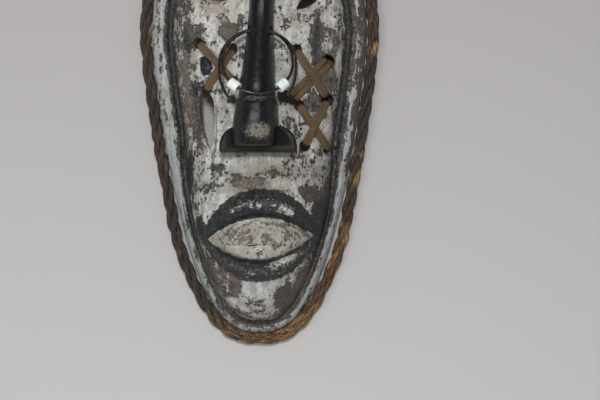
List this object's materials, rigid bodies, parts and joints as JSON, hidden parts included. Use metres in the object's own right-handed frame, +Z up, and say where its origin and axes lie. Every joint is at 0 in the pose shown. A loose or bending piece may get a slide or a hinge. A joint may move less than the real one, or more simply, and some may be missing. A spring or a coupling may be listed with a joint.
{
  "type": "carved wooden face mask",
  "caption": "Long hollowed wooden wall mask with a separate black nose, rope-edged rim, stitched cheeks and a beaded wire hoop that swings in the nose.",
  "frame": {"origin": "on the flat back of the rim, at the middle of its top, where the mask is held to the wall", "axes": "+Z up, -Y out of the wall towards the viewer, so the back of the rim lies in the plane y = 0; +X to the viewer's right"},
  "size_m": [0.2, 0.0936, 0.4045],
  "materials": {
    "painted_wood": "worn white paint over dark wood",
    "black_wood": "smooth black stain, satin",
    "raw_wood": "bare",
    "plant_rope": "twisted plant fibre, matte",
    "rattan": "flat split cane, dull",
    "black_wire": "black, glossy",
    "white_bead": "satin white",
    "iron": "dark, rusted"
  },
  "bodies": {
    "root": {"mask_shell": "painted_wood", "nose": "black_wood", "rim_rope": "plant_rope", "rope_whipping": "plant_rope", "nose_peg_upper": "raw_wood", "nose_peg_lower": "raw_wood", "hanging_eye": "iron", "rope_tack_1": "iron", "rope_tack_2": "iron", "rope_tack_3": "iron", "rope_tack_4": "iron", "rope_tack_5": "iron", "rope_tack_6": "iron", "rope_tack_7": "iron", "rope_tack_8": "iron", "rope_tack_9": "iron", "rope_tack_10": "iron", "rope_tack_11": "iron", "rope_tack_12": "iron", "cheek_stitch_left_under": "rattan", "cheek_stitch_left_over": "rattan", "cheek_stitch_right_upper_over": "rattan", "cheek_stitch_right_upper_under_a": "rattan", "cheek_stitch_right_upper_under_b": "rattan", "cheek_stitch_right_lower_under": "rattan", "cheek_stitch_right_lower_over": "rattan"},
    "hoop": {"hoop_wire": "black_wire"},
    "bead_right": {"bead_right": "white_bead"},
    "bead_left": {"bead_left": "white_bead"}
  },
  "joints": [
    {"name": "hoop_swing", "type": "hinge", "parent": "root", "child": "hoop", "pos_m": [0.00195, -0.06316, -0.12826], "axis": [-1, 0, 0], "range_deg": [0, 130]},
    {"name": "bead_right_slide", "type": "hinge", "parent": "hoop", "child": "bead_right", "pos_m": [0.0005, -0.076, -0.1546], "axis": [0, -0.8988, 0.4384], "range_deg": [0, 6]},
    {"name": "bead_left_slide", "type": "hinge", "parent": "hoop", "child": "bead_left", "pos_m": [0.0005, -0.076, -0.1546], "axis": [0, 0.8988, -0.4384], "range_deg": [0, 10]}
  ]
}
